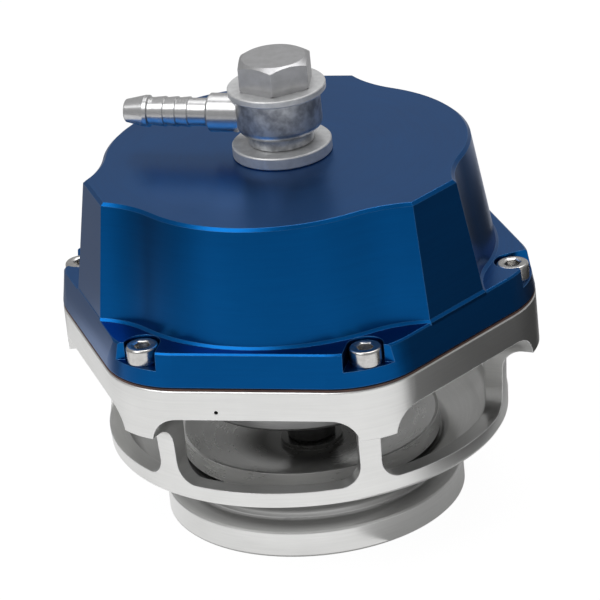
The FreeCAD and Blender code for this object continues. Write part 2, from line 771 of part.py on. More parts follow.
def make_banjo_bolt():
    """A hollow bolt: air passes its cross holes and its bore into the cap."""
    corner_r = BANJO_AF / 2 / math.cos(math.pi / 6)
    head_top = head_z + BANJO_HEAD_H
    tip_z = head_z - BANJO_BOLT_L
    bevel = BANJO_HEAD_BEVEL * math.tan(math.radians(30))
    head = hexagon(BANJO_AF, head_z, BANJO_HEAD_H, BANJO_HEAD_TURN - 90)
    head = head.common(turned([
        (0, head_z),
        (corner_r - BANJO_HEAD_BEVEL / 2, head_z),
        (corner_r, head_z + bevel),
        (corner_r, head_top - 2 * bevel),
        (corner_r - 2 * BANJO_HEAD_BEVEL, head_top),
        (0, head_top),
    ]))
    shank = turned([
        (0, tip_z),
        (BANJO_BOLT_R - 0.6, tip_z),
        (BANJO_BOLT_R, tip_z + 0.6),
        (BANJO_BOLT_R, head_z),
        (0, head_z),
    ])
    bore = cylinder(BANJO_BORE_R, tip_z - 1, barb_z + BANJO_CROSS_R)
    cross = Part.makeCylinder(BANJO_CROSS_R, 2 * BANJO_AF, Vector(-BANJO_AF, 0, barb_z), Vector(1, 0, 0))
    return head.fuse(shank).cut([bore, spun(cross, BARB_ANGLE), spun(cross, BARB_ANGLE + 90)])


def make_banjo_eye():
    """The round eye of the fitting, with a ring groove inside that feeds the barb."""
    bore_r = eye_bore_r
    eye = turned([
        (bore_r, eye_z),
        (eye_foot_r, eye_z, 0.4),
        (eye_foot_r, eye_z + EYE_FOOT_H),
        (eye_r, eye_z + EYE_FOOT_H, EYE_FILLET_R),
        (eye_r, upper_washer_z, 0.3),
        (bore_r, upper_washer_z),
    ])
    groove = ring(bore_r - 1, eye_groove_r, barb_z - EYE_GROOVE_H / 2, barb_z + EYE_GROOVE_H / 2)
    socket = along_barb(Part.makeCylinder(barb_stub_r + STATIC_FIT, eye_r + 5, Vector(), Vector(1, 0, 0)))
    return eye.cut([groove, socket.cut(cylinder(bore_r, eye_z, upper_washer_z))])


def make_hose_barb():
    """The hose tail: a stub in the eye, a collar, low ridges and a tapered end."""
    tail_start = barb_end - BARB_HEAD_L
    profile = [(barb_bore_r, eye_groove_r + 0.2), (barb_stub_r, eye_groove_r + 0.2)]
    profile += [(barb_stub_r, eye_r - 1.0), (barb_collar_r, eye_r - 1.0)]
    profile.append((barb_collar_r, barb_collar_end - 0.5))
    profile += [(barb_collar_r - 0.5, barb_collar_end), (BARB_STEM_R, barb_collar_end)]
    first = tail_start - 0.8 - BARB_RIDGE_PITCH * BARB_RIDGE_COUNT
    for i in range(BARB_RIDGE_COUNT):
        start = first + BARB_RIDGE_PITCH * i
        profile += [(BARB_STEM_R, start), (BARB_STEM_R + BARB_RIDGE_STEP, start + 0.1)]
        profile.append((BARB_STEM_R, start + BARB_RIDGE_PITCH - 0.1))
    profile += [(BARB_STEM_R, tail_start), (barb_ridge_r, tail_start + 0.2)]
    profile.append((barb_ridge_r, tail_start + 0.2 + BARB_LAND))
    profile += [(barb_tip_r, barb_end - 0.2), (barb_tip_r - 0.2, barb_end), (barb_bore_r, barb_end)]
    tail = turned(profile)
    tail.rotate(Vector(), Vector(0, 1, 0), 90)
    hollow = cylinder(eye_r + STATIC_FIT, -EYE_H, EYE_H)
    stub = tail.common(cylinder(eye_r + STATIC_FIT, -EYE_H, EYE_H)).common(
        Part.makeCylinder(barb_stub_r, eye_r + 1, Vector(), Vector(1, 0, 0))
    )
    return along_barb(tail.cut(hollow).fuse(stub).removeSplitter())


def make_banjo_washers():
    inner = BANJO_BOLT_R + 2 * RUNNING_FIT
    lower = ring(inner, lower_washer_r, cap_top_z, eye_z, 0.25)
    upper = ring(inner, upper_washer_r, upper_washer_z, head_z, 0.2)
    return lower, upper


# Assembly
def make_parts():
    """Every sub-part of the valve, by node name."""
    lower_washer, upper_washer = make_banjo_washers()
    parts = {
        "body": make_body(),
        "guide_carrier": make_guide_carrier(),
        "carrier_seal": make_carrier_seal(),
        "guide_bush": make_guide_bush(),
        "stem_seal": make_stem_seal(),
        "diaphragm": make_diaphragm(),
        "cap": make_cap(),
        "banjo_bolt": make_banjo_bolt(),
        "banjo_washer_lower": lower_washer,
        "banjo_washer_upper": upper_washer,
        "banjo_eye": make_banjo_eye(),
        "hose_barb": make_hose_barb(),
        "valve_disc": make_valve_disc(),
        "valve_seal": make_valve_seal(),
        "valve_screw": make_valve_screw(),
        "valve_stem": make_valve_stem(),
        "diaphragm_plate": make_diaphragm_plate(),
        "spring_cup": make_spring_cup(),
        "stem_washer": make_stem_washer(),
        "stem_nut": make_stem_nut(),
        "spring_outer": make_spring(outer_spring_r, OUTER_WIRE_R, OUTER_TURNS),
        "spring_inner": make_spring(inner_spring_r, INNER_WIRE_R, INNER_TURNS),
    }
    for number, (x, y) in enumerate(bolt_places(), start=1):
        parts[f"cap_screw_{number}"] = make_cap_screw(x, y)
    return parts


os.makedirs("parts", exist_ok=True)
for name, shape in make_parts().items():
    shape.exportStep(f"parts/{name}.step")
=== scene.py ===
"""Looks of a blow-off valve: a finish for every piece, finer screws and springs, and a plain studio."""

import logging
import math
from collections.abc import Mapping, Sequence
from dataclasses import dataclass, field
from enum import Enum

import bmesh
import bpy
from mathutils import Matrix, Vector

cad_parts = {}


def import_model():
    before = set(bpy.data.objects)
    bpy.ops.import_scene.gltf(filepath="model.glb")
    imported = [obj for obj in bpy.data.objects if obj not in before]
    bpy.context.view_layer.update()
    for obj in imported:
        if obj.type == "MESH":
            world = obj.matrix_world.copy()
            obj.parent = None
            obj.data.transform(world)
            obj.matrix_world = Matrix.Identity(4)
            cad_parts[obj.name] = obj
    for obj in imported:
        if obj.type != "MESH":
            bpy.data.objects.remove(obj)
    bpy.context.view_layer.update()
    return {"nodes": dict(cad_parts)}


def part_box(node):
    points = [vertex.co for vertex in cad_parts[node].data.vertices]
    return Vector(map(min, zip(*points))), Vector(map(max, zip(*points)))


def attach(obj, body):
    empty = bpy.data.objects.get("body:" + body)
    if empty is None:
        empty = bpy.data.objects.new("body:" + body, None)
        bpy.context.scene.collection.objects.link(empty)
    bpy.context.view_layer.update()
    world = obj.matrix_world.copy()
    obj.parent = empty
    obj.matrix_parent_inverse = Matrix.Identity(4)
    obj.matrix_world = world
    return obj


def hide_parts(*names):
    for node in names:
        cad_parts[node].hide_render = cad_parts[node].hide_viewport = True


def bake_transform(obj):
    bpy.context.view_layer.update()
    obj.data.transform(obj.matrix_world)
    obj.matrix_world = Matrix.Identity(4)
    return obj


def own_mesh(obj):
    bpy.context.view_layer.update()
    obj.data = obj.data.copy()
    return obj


log = logging.getLogger("valve")

Colour = tuple[float, float, float]
Place = tuple[float, float, float]
MM = 0.001
WHITE = (1.0, 1.0, 1.0, 1.0)
SHARP_ANGLE = math.radians(35.0)


class Value:
    """One output of a node, written in Python expressions as a number is."""

    def __init__(self, graph: "Graph", socket: bpy.types.NodeSocket) -> None:
        """Keeps the socket and the graph that it belongs to."""
        self.graph = graph
        self.socket = socket

    def out(self, name: str) -> "Value":
        """Another output of the same node, by name."""
        return Value(self.graph, self.socket.node.outputs[name])

    def math(self, operation: str, *others: "Value | float") -> "Value":
        """Adds a Math node with this value in its first socket.

        Args:
            operation: the Math node's operation.
            others: what goes into the sockets that follow.

        Returns:
            The node's result.
        """
        inputs = dict(enumerate((self, *others)))
        return self.graph.node("ShaderNodeMath", {"operation": operation}, inputs)

    def __add__(self, other: "Value | float") -> "Value":
        """The sum."""
        return self.math("ADD", other)

    __radd__ = __add__

    def __sub__(self, other: "Value | float") -> "Value":
        """The difference."""
        return self.math("SUBTRACT", other)

    def __rsub__(self, other: float) -> "Value":
        """The difference from a plain number."""
        return self.math("MULTIPLY", -1.0) + other

    def __mul__(self, other: "Value | float") -> "Value":
        """The product."""
        return self.math("MULTIPLY", other)

    __rmul__ = __mul__

    def __truediv__(self, other: "Value | float") -> "Value":
        """The quotient."""
        return self.math("DIVIDE", other)

    def __pow__(self, other: float) -> "Value":
        """The power."""
        return self.math("POWER", other)

    def at_least(self, other: "Value | float") -> "Value":
        """The larger of the two."""
        return self.math("MAXIMUM", other)

    def at_most(self, other: "Value | float") -> "Value":
        """The smaller of the two."""
        return self.math("MINIMUM", other)

    def clamped(self) -> "Value":
        """The value held between 0 and 1."""
        return self.at_least(0.0).at_most(1.0)

    def ramped(self, low: float, high: float) -> "Value":
        """A smooth step from 0 at low to 1 at high."""
        inputs = {"Value": self, "From Min": low, "From Max": high}
        return self.graph.node("ShaderNodeMapRange", {"interpolation_type": "SMOOTHSTEP"}, inputs)


class Graph:
    """Adds nodes to one node tree and links them."""

    def __init__(self, tree: bpy.types.NodeTree) -> None:
        """Keeps the tree that the nodes go into."""
        self.tree = tree

    def node(
        self,
        kind: str,
        settings: Mapping[str, object] | None = None,
        inputs: Mapping[str | int, object] | None = None,
        output: int | str = 0,
    ) -> Value:
        """Adds one node.

        Args:
            kind: the node's type.
            settings: its properties, set before its sockets.
            inputs: numbers, colours or other nodes' outputs for its sockets, by name or place.
            output: the output that is returned.

        Returns:
            That output, or the first socket of a node that has no outputs.
        """
        made = self.tree.nodes.new(kind)
        for name, setting in (settings or {}).items():
            setattr(made, name, setting)
        for name, given in (inputs or {}).items():
            socket = made.inputs[name]
            if isinstance(given, Value):
                self.tree.links.new(given.socket, socket)
            else:
                socket.default_value = given
        return Value(self, made.outputs[output] if made.outputs else made.inputs[0])

    def joined(self, x: Value | float, y: Value | float, z: Value | float) -> Value:
        """A vector from its three parts."""
        return self.node("ShaderNodeCombineXYZ", inputs={0: x, 1: y, 2: z})

    def parts(self, vector: Value) -> tuple[Value, Value, Value]:
        """The three parts of a vector."""
        split = self.node("ShaderNodeSeparateXYZ", inputs={0: vector})
        return split, split.out("Y"), split.out("Z")


class Shader(Graph):
    """The node tree of one material, with the patterns that the finishes share."""

    def __init__(self, name: str) -> None:
        """Makes an empty material."""
        self.material = bpy.data.materials.new(name)
        self.material.use_nodes = True
        self.material.node_tree.nodes.clear()
        super().__init__(self.material.node_tree)

    def place(self, centre: Place = (0.0, 0.0, 0.0), turn: float = 0.0) -> Value:
        """The point on the piece, in millimetres.

        Args:
            centre: where it is measured from, in millimetres.
            turn: how far the axes that measure it are turned about Z, in radians.

        Returns:
            The point as a vector.
        """
        point = self.node("ShaderNodeTexCoord", output="Object")
        moved = {"Vector": point, "Scale": (1.0 / MM,) * 3, "Location": tuple(-c for c in centre)}
        point = self.node("ShaderNodeMapping", {"vector_type": "POINT"}, moved)
        if turn:
            turned = {"Vector": point, "Rotation": (0.0, 0.0, -turn)}
            point = self.node("ShaderNodeMapping", {"vector_type": "POINT"}, turned)
        return point

    def noise(self, point: Value, per_mm: float, detail: float = 3.0, rough: float = 0.55) -> Value:
        """Cloudy noise from 0 to 1 with about per_mm cells in a millimetre."""
        inputs = {"Vector": point, "Scale": per_mm, "Detail": detail, "Roughness": rough}
        return self.node("ShaderNodeTexNoise", {"noise_dimensions": "3D"}, inputs)

    def blended(self, share: Value | float, first: Colour | Value, second: Colour | Value) -> Value:
        """Mixes two colours.

        Args:
            share: the second colour's share, from 0 to 1.
            first: the colour that shows where the share is 0.
            second: the colour that shows where it is 1.

        Returns:
            The mixed colour.
        """
        given = [c if isinstance(c, Value) else (*c, 1.0) for c in (first, second)]
        inputs = {0: share, 6: given[0], 7: given[1]}
        return self.node("ShaderNodeMix", {"data_type": "RGBA"}, inputs, 2)

    def glow(self, strength: float) -> Value:
        """White light of one strength from the surface itself."""
        return self.node("ShaderNodeEmission", inputs={"Color": WHITE, "Strength": strength})

    def finished(self, surface: Value) -> bpy.types.Material:
        """Ends the material in a surface shader.

        Args:
            surface: the shader's output.

        Returns:
            The finished material.
        """
        self.node("ShaderNodeOutputMaterial", inputs={"Surface": surface})
        return self.material


class Lay(Enum):
    """Which way the tool marks of a finish run."""

    TURNED = "rings round an upright axis"
    DRAWN = "rings round the hose tail"
    CLOUDY = "no marks, only grain"


# What the finishes share.
TONE_STEP = (0.3, 0.7)  # the noise at which the first tone ends and the second is full
MARKS_IN_TONE = 0.6  # the tool marks' share in the tone, beside the patches
ON_THE_AXIS = 0.01  # keeps the marks sound where the radius is zero
EDGE_SAMPLES = 6  # how many rays look for an edge
EDGE_LEAN = (0.012, 0.09)  # how far a rounded direction leans off its face, from plain face to edge
# An edge's lighter colour is a painted highlight, made less metallic so that it also shows in diffuse light.
EDGE_HIGHLIGHT_DULLING = 0.8  # how much of its metal shine an edge of full colour loses
CORE_START = 0.55  # the share of the core's radius at which it begins to fade
BAND_SOFTNESS = 0.2  # the millimetres on either side of a band's end in which it fades


@dataclass(frozen=True)
class MetalFinish:
    """A metal finish, with its lengths in millimetres.

    It varies between two tones, in patches and along its tool marks. Its edges carry a painted highlight, a
    lighter colour of their own, and the middle of the piece or a band between two heights can carry painted
    shade, a darker colour. The grain and the tool marks also stand out a little, by their depths.
    """

    name: str
    colour: Colour
    second: Colour
    roughness: float
    roughness_spread: float = 0.08
    lay: Lay = Lay.TURNED
    mark_pitch: float = 0.45
    mark_depth: float = 0.25
    marks_around: float = 3.0
    grain: float = 8.0
    grain_depth: float = 0.1
    patch: float = 0.12
    # edge_radius rounds the edges' shading; the edge colour and its share paint a highlight along them
    edge_radius: float = 0.2
    edge_highlight_colour: Colour = (0.8, 0.8, 0.8)
    edge_highlight_share: float = 0.3
    metallic: float = 1.0
    stretch: float = 0.0
    # the core's colour is painted shade over the middle of the piece, out to core_radius
    core_radius: float = 0.0
    core_shade_colour: Colour = (0.1, 0.1, 0.1)
    # the band's colour is painted shade between two heights
    band: tuple[float, float] | None = None
    band_shade_colour: Colour = (0.5, 0.5, 0.5)
    coat: float = 0.0
    coat_roughness: float = 0.1
    centre: Place = (0.0, 0.0, 0.0)
    turn: float = 0.0

    def marks(self, shader: Shader, point: Value) -> Value:
        """Tool marks: long streaks round the axis, a pitch apart along the surface.

        Args:
            shader: the material that they are added to.
            point: the point on the piece.

        Returns:
            Their height, from 0 to 1.
        """
        x, y, z = shader.parts(point)
        if self.lay is Lay.DRAWN:
            x, y, z = y, z, x
        reach = (x * x + y * y + ON_THE_AXIS) ** 0.5
        level = z
        if self.lay is Lay.TURNED:
            facing = shader.parts(shader.node("ShaderNodeNewGeometry", output="Normal"))[2]
            level = z + (reach - z) * (facing * facing)
        around = self.marks_around
        streaks = shader.joined(x / reach * around, y / reach * around, level / self.mark_pitch)
        return shader.noise(streaks, 1.0, rough=0.65)

    def edges(self, shader: Shader, rounded: Value) -> Value:
        """Finds the edges of the piece.

        Args:
            shader: the material that the mask is added to.
            rounded: the direction of the surface, as if the piece's edges were rounded.

        Returns:
            A mask that is 0 on plain faces and 1 on edges.
        """
        facing = shader.node("ShaderNodeNewGeometry", output="Normal")
        directions = {0: rounded, 1: facing}
        alike = shader.node("ShaderNodeVectorMath", {"operation": "DOT_PRODUCT"}, directions, "Value")
        return (1.0 - alike).ramped(*EDGE_LEAN)

    def core(self, shader: Shader, point: Value) -> Value:
        """A mask for the painted shade, 1 in the middle of the piece and 0 beyond the core's radius."""
        x, y, _ = shader.parts(point)
        return 1.0 - ((x * x + y * y) ** 0.5).ramped(self.core_radius * CORE_START, self.core_radius)

    def banded(self, shader: Shader, point: Value, ends: tuple[float, float]) -> Value:
        """A mask for a band of painted shade on the piece.

        Args:
            shader: the material that the mask is added to.
            point: the point on the piece.
            ends: the heights where the band starts and ends.

        Returns:
            A mask that is 1 in the band and 0 below and above it.
        """
        height = shader.parts(point)[2]
        below, above = (height.ramped(end - BAND_SOFTNESS, end + BAND_SOFTNESS) for end in ends)
        return below * (1.0 - above)

    def material(self) -> bpy.types.Material:
        """Builds the finish as a node material.

        Returns:
            The material.
        """
        shader = Shader(self.name)
        point = shader.place(self.centre, self.turn)
        patches = shader.noise(point, self.patch)
        grain = shader.noise(point, self.grain, detail=2.0)
        radius = {"Radius": self.edge_radius * MM}
        rounded = shader.node("ShaderNodeBevel", {"samples": EDGE_SAMPLES}, radius)
        edge = self.edges(shader, rounded)
        height = grain * self.grain_depth
        rough = self.roughness + (patches - 0.5) * self.roughness_spread * 2.0
        tone = patches
        if self.lay is not Lay.CLOUDY:
            marks = self.marks(shader, point)
            height = height + marks * self.mark_depth
            rough = rough + (marks - 0.5) * self.roughness_spread * 2.0
            tone = patches * (1.0 - MARKS_IN_TONE) + marks * MARKS_IN_TONE
        colour = shader.blended(tone.ramped(*TONE_STEP), self.colour, self.second)
        # Painted shade darkens the middle of the piece, and the painted edge highlight is kept out of it.
        if self.core_radius:
            core = self.core(shader, point)
            colour = shader.blended(core, colour, self.core_shade_colour)
            edge = edge * (1.0 - core)
        # Painted shade darkens a band between two heights.
        if self.band:
            colour = shader.blended(self.banded(shader, point, self.band), colour, self.band_shade_colour)
        bumped = {"Strength": 0.6, "Distance": 0.02 * MM, "Height": height, "Normal": rounded}
        return shader.finished(shader.node("ShaderNodeBsdfPrincipled", inputs={
            # The edges take a painted highlight in the base colour and lose some metal shine, so that it
            # shows in diffuse light too.
            "Base Color": shader.blended(edge * self.edge_highlight_share, colour, self.edge_highlight_colour),
            "Metallic": (1.0 - edge * (self.edge_highlight_share * EDGE_HIGHLIGHT_DULLING)) * self.metallic,
            "Roughness": rough.clamped(),
            "Anisotropic": self.stretch,
            "Coat Weight": self.coat,
            "Coat Roughness": self.coat_roughness,
            "Normal": shader.node("ShaderNodeBump", inputs=bumped),
        }))


@dataclass(frozen=True)
class RubberFinish:
    """A matt rubber, with an even grain and a little bloom."""

    name: str
    colour: Colour
    second: Colour
    roughness: float = 0.6
    grain: float = 5.0

    def material(self) -> bpy.types.Material:
        """Builds the finish as a node material.

        Returns:
            The material.
        """
        shader = Shader(self.name)
        point = shader.place()
        bloom = shader.noise(point, 0.3)
        bumped = {"Strength": 0.5, "Distance": 0.03 * MM, "Height": shader.noise(point, self.grain)}
        return shader.finished(shader.node("ShaderNodeBsdfPrincipled", inputs={
            "Base Color": shader.blended(bloom.ramped(*TONE_STEP), self.colour, self.second),
            "Roughness": (self.roughness + (bloom - 0.5) * 0.2).clamped(),
            "Normal": shader.node("ShaderNodeBump", inputs=bumped),
        }))


# Each finish has its two tones, its roughness and how far that varies, and then what sets it apart.
# The lighter edge colours below are painted highlights.
BLUE_ANODISED = MetalFinish(
    "blue_anodised", (0.0006, 0.077, 0.263), (0.0006, 0.086, 0.29), 0.29, 0.02,
    mark_pitch=0.6, mark_depth=0.03, grain=14.0, grain_depth=0.06, patch=0.05,
    edge_radius=0.18, edge_highlight_colour=(0.10, 0.30, 0.60), edge_highlight_share=0.5, coat=0.05, coat_roughness=0.2,
)
MACHINED_ALUMINIUM = MetalFinish(
    "machined_aluminium", (0.73, 0.73, 0.72), (0.68, 0.68, 0.67), 0.33, 0.03,
    mark_pitch=0.4, mark_depth=0.14, grain_depth=0.04,
    edge_radius=0.32, edge_highlight_colour=(0.97, 0.97, 0.97), edge_highlight_share=0.85, stretch=0.4,
    # The darker band is painted shade on the lower flange's shoulder and neck.
    band=(5.9, 13.2), band_shade_colour=(0.50, 0.50, 0.495),
)
CARRIER_ALUMINIUM = MetalFinish(
    "carrier_aluminium", (0.55, 0.55, 0.55), (0.42, 0.42, 0.42), 0.4, 0.06,
    mark_pitch=0.7, mark_depth=0.4, edge_radius=0.25, stretch=0.4,
)
PLATE_ALUMINIUM = MetalFinish("plate_aluminium", (0.68, 0.68, 0.67), (0.6, 0.6, 0.6), 0.36)
TURNED_STAINLESS = MetalFinish(
    "turned_stainless", (0.60, 0.595, 0.58), (0.50, 0.495, 0.48), 0.24, 0.05,
    mark_pitch=0.4, mark_depth=0.25, edge_radius=0.2, edge_highlight_colour=(0.85, 0.85, 0.83), stretch=0.6,
)
DISC_STEEL = MetalFinish(
    "disc_steel", (0.86, 0.86, 0.85), (0.80, 0.80, 0.79), 0.28, 0.02,
    mark_pitch=0.6, mark_depth=0.03, grain_depth=0.0,
    edge_radius=0.2, edge_highlight_colour=(0.95, 0.95, 0.94), edge_highlight_share=0.4, stretch=0.7,
    # The dark core is painted shade in the disc's hollow.
    metallic=0.75, core_radius=18.0, core_shade_colour=(0.15, 0.15, 0.145),
)
DARK_STEEL = MetalFinish(
    "dark_steel", (0.10, 0.10, 0.10), (0.08, 0.08, 0.08), 0.36, 0.04,
    mark_pitch=0.4, mark_depth=0.1, edge_highlight_colour=(0.2, 0.2, 0.2),
)
SCREW_STAINLESS = MetalFinish(
    "screw_stainless", (0.61, 0.60, 0.585), (0.53, 0.52, 0.505), 0.24, 0.04, Lay.CLOUDY,
    grain=4.0, grain_depth=0.12, patch=0.8, edge_radius=0.1, edge_highlight_colour=(0.85, 0.85, 0.83),
)
BOLT_ZINC = MetalFinish(
    "bolt_zinc", (0.47, 0.47, 0.48), (0.42, 0.42, 0.425), 0.38, 0.04, Lay.CLOUDY,
    grain=3.0, grain_depth=0.25, patch=0.5, edge_radius=0.18, edge_highlight_colour=(0.6, 0.6, 0.6), metallic=0.9,
)
WASHER_ZINC = MetalFinish(
    "washer_zinc", (0.68, 0.685, 0.69), (0.58, 0.585, 0.59), 0.42, 0.06, Lay.CLOUDY,
    grain=3.5, grain_depth=0.35, patch=0.6, edge_radius=0.2, edge_highlight_colour=(0.75, 0.75, 0.75), metallic=0.6,
)
CLOUDY_ZINC = MetalFinish(
    "cloudy_zinc", (0.66, 0.67, 0.68), (0.28, 0.285, 0.30), 0.33, 0.1, Lay.CLOUDY,
    grain=2.5, grain_depth=0.6, patch=0.4,
    edge_radius=0.2, edge_highlight_colour=(0.72, 0.72, 0.72), metallic=0.85,
)
TURNED_PLATE = MetalFinish(
    "turned_plate", (0.60, 0.60, 0.605), (0.54, 0.54, 0.545), 0.26, 0.02, Lay.DRAWN,
    mark_pitch=0.8, mark_depth=0.03, grain=3.0, grain_depth=0.02,
    edge_radius=0.05, edge_highlight_share=0.0, metallic=0.85,
    centre=(0.0, 0.0, 85.48), turn=math.radians(176.5),
)
SPRING_WIRE = MetalFinish(
    "spring_wire", (0.30, 0.30, 0.31), (0.2, 0.2, 0.21), 0.32, 0.1, Lay.CLOUDY, grain=6.0,
)
BRONZE = MetalFinish(
    "bronze_bush", (0.55, 0.36, 0.16), (0.45, 0.28, 0.12), 0.35, edge_highlight_colour=(0.75, 0.55, 0.3),
)
BLACK_RUBBER = RubberFinish("black_rubber", (0.02, 0.02, 0.02), (0.035, 0.035, 0.034))
SHEET_RUBBER = RubberFinish("sheet_rubber", (0.10, 0.045, 0.032), (0.065, 0.032, 0.026))

Finish = MetalFinish | RubberFinish


class Finishes:
    """Makes each finish's material once and dresses pieces in it."""

    def __init__(self) -> None:
        """Starts with no material made."""
        self.made: dict[str, bpy.types.Material] = {}

    def material(self, finish: Finish) -> bpy.types.Material:
        """Gives a finish's material, which is made when it is first asked for.

        Args:
            finish: the finish.

        Returns:
            Its material.
        """
        if finish.name not in self.made:
            self.made[finish.name] = finish.material()
        return self.made[finish.name]

    def dress(self, piece: bpy.types.Object, finish: Finish) -> None:
        """Gives every material slot of a piece the finish.

        Args:
            piece: a mesh object.
            finish: what it is dressed in.
        """
        material = self.material(finish)
        if not piece.data.materials:
            piece.data.materials.append(material)
        for place in piece.material_slots:
            place.material = material
        log.info("%s: %s", piece.name, finish.name)


def linked(name: str, data: bpy.types.ID) -> bpy.types.Object:
    """Adds an object to the scene.

    Args:
        name: the object's name.
        data: its mesh, lamp or camera.

    Returns:
        The object, which stands at the origin.
    """
    added = bpy.data.objects.new(name, data)
    bpy.context.scene.collection.objects.link(added)
    return added


def four_cornered(name: str, corners: Sequence[Vector], material: bpy.types.Material) -> bpy.types.Object:
    """Adds a flat face to the scene, which isn't part of the valve.

    Args:
        name: the object's name.
        corners: its four corners in order, in metres.
        material: what it is dressed in.

    Returns:
        The object.
    """
    mesh = bpy.data.meshes.new(name)
    mesh.from_pydata(corners, [], [(0, 1, 2, 3)])
    mesh.materials.append(material)
    face = linked(name, mesh)
    return face


class Recipe(Graph):
    """A geometry node tree with named inputs, which makes one mesh."""

    def __init__(self, name: str) -> None:
        """Starts a tree that takes a mesh in and gives one out."""
        super().__init__(bpy.data.node_groups.new(name, "GeometryNodeTree"))
        for way in ("INPUT", "OUTPUT"):
            self.tree.interface.new_socket("Geometry", in_out=way, socket_type="NodeSocketGeometry")
        self.inlet = self.node("NodeGroupInput")
        self.given: dict[str, object] = {}

    def asked(self, name: str, given: object, kind: str = "NodeSocketFloat") -> Value:
        """Adds a named input to the tree.

        Args:
            name: the input's name.
            given: what it is set to.
            kind: the type of its socket.

        Returns:
            The input's value inside the tree.
        """
        socket = self.tree.interface.new_socket(name, in_out="INPUT", socket_type=kind)
        self.given[socket.identifier] = given
        return self.inlet.out(name)

    def made(
        self, name: str, result: Value, start: bpy.types.Mesh, material: bpy.types.Material
    ) -> bpy.types.Object:
        """Runs the tree on a mesh and keeps what comes out.

        Args:
            name: the new piece's name.
            result: the geometry that the tree ends in.
            start: the mesh that goes in.
            material: what the result is dressed in.

        Returns:
            The new piece, with no modifier left on it.
        """
        whole = self.node("GeometryNodeRealizeInstances", inputs={"Geometry": result})
        worn = self.asked("Material", material, "NodeSocketMaterial")
        dressed = self.node("GeometryNodeSetMaterial", inputs={"Geometry": whole, "Material": worn})
        self.node("NodeGroupOutput", inputs={"Geometry": dressed})
        piece = linked(name, start)
        modifier = piece.modifiers.new("recipe", "NODES")
        modifier.node_group = self.tree
        for identifier, given in self.given.items():
            modifier[identifier] = given
        shape = piece.evaluated_get(bpy.context.evaluated_depsgraph_get())
        mesh = bpy.data.meshes.new_from_object(shape)
        piece.modifiers.clear()
        piece.data = mesh
        mesh.name = name
        log.info("%s: %s", name, material.name)
        return piece


@dataclass(frozen=True)
class Ring:
    """One level of a lofted skin, in millimetres: round, or with six sides that lie at its radius."""

    height: float
    radius: float
    six_sided: bool = False

    def point(self, angle: float) -> Vector:
        """Finds a point of the ring.

        Args:
            angle: where it lies round the axis, in radians.

        Returns:
            The point, in metres.
        """
        reach = self.radius
        if self.six_sided:
            reach /= math.cos(angle % (math.pi / 3) - math.pi / 6)
        return Vector((reach * math.cos(angle), reach * math.sin(angle), self.height)) * MM


def lofted(name: str, rings: Sequence[Ring], around: int = 48) -> bpy.types.Mesh:
    """Makes a closed skin through rings.

    Args:
        name: the mesh's name.
        rings: the rings, in order along the skin.
        around: how many points each ring has.

    Returns:
        The mesh, closed at both ends.
    """
    skin = bmesh.new()
    loops = [[skin.verts.new(ring.point(math.tau * i / around)) for i in range(around)] for ring in rings]
    for low, high in zip(loops, loops[1:]):
        for i in range(around):
            following = (i + 1) % around
            skin.faces.new((low[i], low[following], high[following], high[i]))
    skin.faces.new(list(reversed(loops[0])))
    skin.faces.new(loops[-1])
    bmesh.ops.recalc_face_normals(skin, faces=skin.faces)
    mesh = bpy.data.meshes.new(name)
    skin.to_mesh(mesh)
    skin.free()
    mesh.shade_smooth()
    mesh.set_sharp_from_angle(angle=SHARP_ANGLE)
    return mesh


